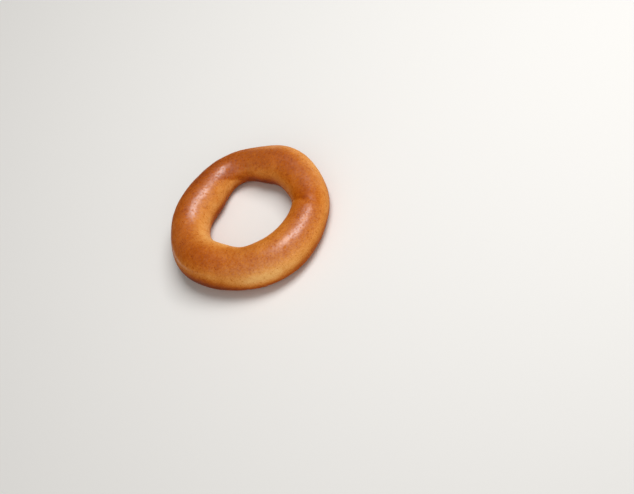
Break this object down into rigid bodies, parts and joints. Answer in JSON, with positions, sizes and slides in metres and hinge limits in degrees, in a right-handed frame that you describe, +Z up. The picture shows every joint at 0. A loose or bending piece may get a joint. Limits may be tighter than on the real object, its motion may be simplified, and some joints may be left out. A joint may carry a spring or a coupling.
{
  "type": "bagel",
  "caption": "Thin ring bagel with a wide open hole: an uneven hand-rolled rope of dough joined end to end, with a glossy browned crust and a flat underside to rest on.",
  "frame": {"origin": "middle of the ring's box, on the surface the bagel rests on", "axes": "+Z up through the hole, +X and +Y across the ring, with the thickest stretch of the rope towards -X and -Y"},
  "size_m": [0.1018, 0.1042, 0.0253],
  "materials": {
    "crust": "satin"
  },
  "bodies": {
    "root": {"bagel": "crust"}
  },
  "joints": []
}
